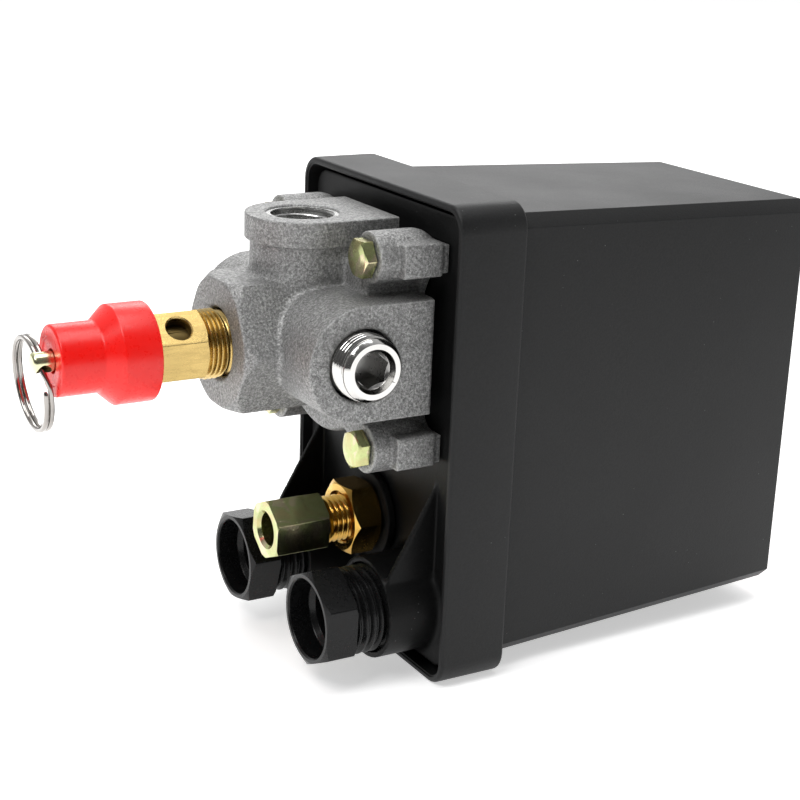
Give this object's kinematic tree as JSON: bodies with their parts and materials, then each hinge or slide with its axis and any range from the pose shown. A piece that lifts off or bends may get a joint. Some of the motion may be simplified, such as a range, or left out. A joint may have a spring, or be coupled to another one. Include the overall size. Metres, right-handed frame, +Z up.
{
  "type": "pressure switch",
  "caption": "Air-compressor pressure switch with four-port cast manifold, pull-ring safety valve, unloader valve, two cable glands and a pull-off black cover.",
  "frame": {"origin": "middle of the whole switch, on the surface its cover's collar lies on", "axes": "+X from the manifold towards the cover along the working axis, +Y across the narrow side away from the plugged port, +Z up through the open top port"},
  "size_m": [0.1712, 0.0646, 0.098],
  "materials": {
    "cover_plastic": "moulded black, fine satin texture",
    "gland_plastic": "smooth satin black",
    "cast_alloy": "shot-blasted die casting",
    "zinc_yellow": "yellow-passivated zinc",
    "zinc_clear": "clear zinc plating",
    "brass": "machined brass",
    "red_plastic": "glossy red",
    "nickel": "bright nickel plating",
    "rubber": "black rubber",
    "spring_steel": "bright spring wire",
    "bakelite": "dark phenolic moulding",
    "copper": "copper strip",
    "earth_green": "green passivated screw"
  },
  "bodies": {
    "base": {"base_plate": "cover_plastic", "contact_block": "bakelite", "cover_post_1": "zinc_clear", "cover_post_2": "zinc_clear", "diaphragm": "rubber", "diff_screw": "zinc_clear", "diff_spring": "spring_steel", "flange_bolt_1": "zinc_yellow", "flange_bolt_2": "zinc_yellow", "flange_bolt_3": "zinc_yellow", "flange_bolt_4": "zinc_yellow", "frame_bracket": "zinc_clear", "gland_seal_far": "rubber", "gland_seal_near": "rubber", "ground_screw_1": "earth_green", "ground_screw_2": "earth_green", "lever_pin": "zinc_clear", "manifold": "cast_alloy", "port_plug": "nickel", "range_spring": "spring_steel", "range_stud": "zinc_clear", "sv_adjuster": "brass", "sv_body": "brass", "sv_cap": "red_plastic", "sv_spring": "spring_steel", "terminal_plate_1": "copper", "terminal_plate_2": "copper", "terminal_plate_3": "copper", "terminal_plate_4": "copper", "terminal_screw_1": "zinc_clear", "terminal_screw_2": "zinc_clear", "terminal_screw_3": "zinc_clear", "terminal_screw_4": "zinc_clear", "unloader_body": "zinc_yellow", "unloader_coupling": "zinc_yellow", "unloader_nut": "zinc_yellow", "unloader_spring": "spring_steel", "unloader_washer": "rubber"},
    "cover": {"cover": "cover_plastic", "cover_screw_1": "zinc_clear", "cover_screw_2": "zinc_clear"},
    "knob": {"onoff_knob": "red_plastic", "knob_rod": "zinc_clear"},
    "valve_stem": {"sv_stem": "zinc_yellow", "sv_poppet": "brass"},
    "pull_ring": {"sv_ring": "nickel"},
    "gland_near_travel": {"gland_washer_near": "zinc_clear"},
    "gland_near_screw": {"gland_screw_near": "gland_plastic"},
    "gland_far_travel": {"gland_washer_far": "zinc_clear"},
    "gland_far_screw": {"gland_screw_far": "gland_plastic"},
    "piston": {"piston": "zinc_clear"},
    "lever": {"main_lever": "zinc_clear"},
    "unloader_pin": {"unloader_pin": "zinc_clear"},
    "carrier": {"contact_carrier": "bakelite", "contact_bridge_1": "copper", "contact_bridge_2": "copper"},
    "range_adjust": {"range_seat": "zinc_clear"},
    "range_nut": {"range_nut": "zinc_clear"}
  },
  "joints": [
    {"name": "cover_slide", "type": "slide", "parent": "base", "child": "cover", "axis": [1, 0, 0], "range_m": [0, 0.095]},
    {"name": "knob_push", "type": "slide", "parent": "cover", "child": "knob", "axis": [-1, 0, 0], "range_m": [0, 0.006]},
    {"name": "valve_pull", "type": "slide", "parent": "base", "child": "valve_stem", "axis": [-1, 0, 0], "range_m": [0, 0.003], "stiffness_N_per_m": 6000, "springref_m": -0.004, "deforming": ["sv_spring"]},
    {"name": "ring_swing", "type": "hinge", "parent": "valve_stem", "child": "pull_ring", "pos_m": [-0.08375, 0, 0.068], "axis": [-0.0648, 0.6691, 0.7403], "range_deg": [0, 170]},
    {"name": "gland_near_out", "type": "slide", "parent": "base", "child": "gland_near_travel", "axis": [-1, 0, 0], "range_m": [0, 0.006]},
    {"name": "gland_near_turn", "type": "hinge", "parent": "gland_near_travel", "child": "gland_near_screw", "pos_m": [-0.02385, -0.0174, 0.0142], "axis": [-1, 0, 0], "range_deg": [0, 1440]},
    {"name": "gland_far_out", "type": "slide", "parent": "base", "child": "gland_far_travel", "axis": [-1, 0, 0], "range_m": [0, 0.006]},
    {"name": "gland_far_turn", "type": "hinge", "parent": "gland_far_travel", "child": "gland_far_screw", "pos_m": [-0.02385, 0.0174, 0.0142], "axis": [-1, 0, 0], "range_deg": [0, 1440]},
    {"name": "piston_lift", "type": "slide", "parent": "base", "child": "piston", "axis": [1, 0, 0], "range_m": [0, 0.0008], "stiffness_N_per_m": 12000, "springref_m": -0.003, "deforming": ["range_spring", "diff_spring", "unloader_spring"]},
    {"name": "lever_swing", "type": "hinge", "parent": "base", "child": "lever", "pos_m": [0.00165, 0, 0.086], "axis": [0, -1, 0], "range_deg": [0, 2.6]},
    {"name": "unloader_open", "type": "slide", "parent": "base", "child": "unloader_pin", "axis": [1, 0, 0], "range_m": [0, 0.0027]},
    {"name": "contacts_open", "type": "slide", "parent": "base", "child": "carrier", "axis": [1, 0, 0], "range_m": [0, 0.0024]},
    {"name": "range_set", "type": "slide", "parent": "base", "child": "range_adjust", "axis": [-1, 0, 0], "range_m": [0, 0.006]},
    {"name": "range_turn", "type": "hinge", "parent": "range_adjust", "child": "range_nut", "pos_m": [0.03615, 0, 0.057], "axis": [-1, 0, 0], "range_deg": [0, 2160]}
  ],
  "couplings": [
    {"joint": "gland_near_turn", "follows": "gland_near_out", "rad_per_m": 4188.8},
    {"joint": "gland_far_turn", "follows": "gland_far_out", "rad_per_m": 4188.8},
    {"joint": "lever_swing", "follows": "piston_lift", "rad_per_m": 55.556},
    {"joint": "unloader_open", "follows": "piston_lift", "ratio": 3.2778},
    {"joint": "contacts_open", "follows": "piston_lift", "ratio": 2.9444},
    {"joint": "range_turn", "follows": "range_set", "rad_per_m": 6283.2}
  ]
}
